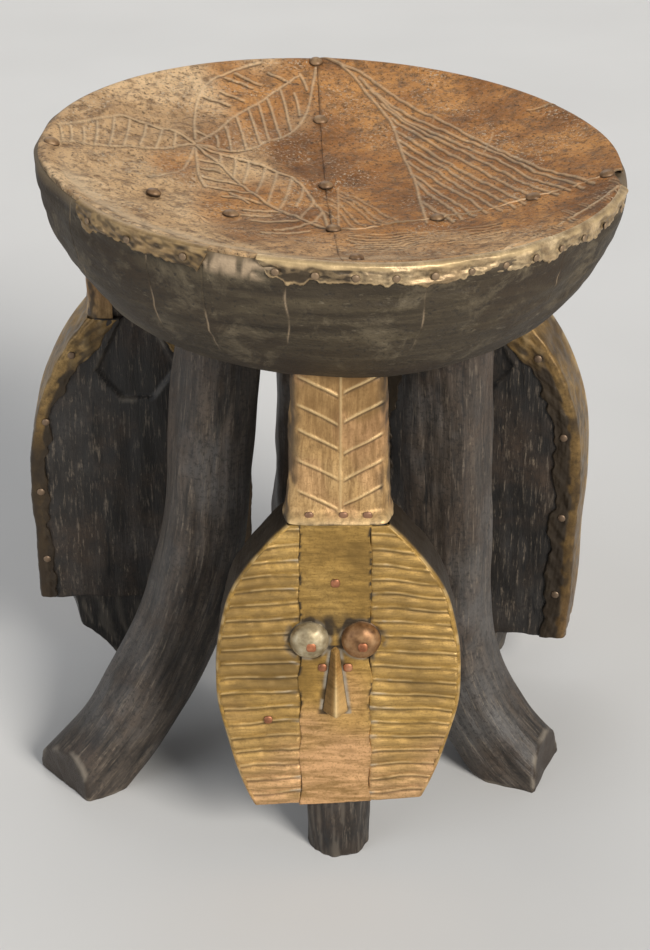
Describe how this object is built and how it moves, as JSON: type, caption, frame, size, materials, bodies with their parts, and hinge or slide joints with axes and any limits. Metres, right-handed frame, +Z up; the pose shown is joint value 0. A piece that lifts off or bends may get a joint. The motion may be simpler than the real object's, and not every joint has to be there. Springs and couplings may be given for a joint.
{
  "type": "six-legged stool",
  "caption": "Carved wooden stool with a thick dished seat lined in sheet metal, plain bent legs and legs carved as posts with metal-dressed mask boards.",
  "frame": {"origin": "middle of the whole stool's outline, on the floor", "axes": "+Z up, -Y the way the front figure faces, +X to the right of a viewer who looks at that face"},
  "size_m": [0.3672, 0.3658, 0.4082],
  "materials": {
    "seat_wood": "dull, worn, streaked",
    "leg_wood": "blackened, scuffed",
    "seat_copper": "engraved copper sheet, tarnished",
    "rim_brass": "yellow brass sheet, worn",
    "face_brass": "olive-gold brass sheet, dusty",
    "copper_pins": "copper pin and tack heads"
  },
  "bodies": {
    "root": {"figure_front": "leg_wood", "figure_rear_left": "leg_wood", "figure_rear_right": "leg_wood", "front_cheek_left": "face_brass", "front_cheek_right": "face_brass", "front_edge_fold": "face_brass", "front_eye_left": "face_brass", "front_eye_right": "face_brass", "front_face_band": "face_brass", "front_nose": "face_brass", "front_pins": "copper_pins", "front_post_sheet": "face_brass", "leg_front_left": "leg_wood", "leg_front_right": "leg_wood", "leg_rear": "leg_wood", "rear_left_cheek_left": "face_brass", "rear_left_cheek_right": "face_brass", "rear_left_edge_fold": "face_brass", "rear_left_eye_left": "face_brass", "rear_left_eye_right": "face_brass", "rear_left_face_band": "face_brass", "rear_left_nose": "face_brass", "rear_left_pins": "copper_pins", "rear_left_post_sheet": "face_brass", "rear_right_cheek_left": "face_brass", "rear_right_cheek_right": "face_brass", "rear_right_edge_fold": "face_brass", "rear_right_eye_left": "face_brass", "rear_right_eye_right": "face_brass", "rear_right_face_band": "face_brass", "rear_right_nose": "face_brass", "rear_right_pins": "copper_pins", "rear_right_post_sheet": "face_brass", "rim_patch": "rim_brass", "rim_pins": "copper_pins", "rim_strip": "rim_brass", "seat_bowl": "seat_wood", "seat_sheet_front": "seat_copper", "seat_sheet_left": "seat_copper", "seat_sheet_patch": "seat_copper", "seat_sheet_right": "seat_copper", "seat_tacks": "copper_pins"}
  },
  "joints": []
}
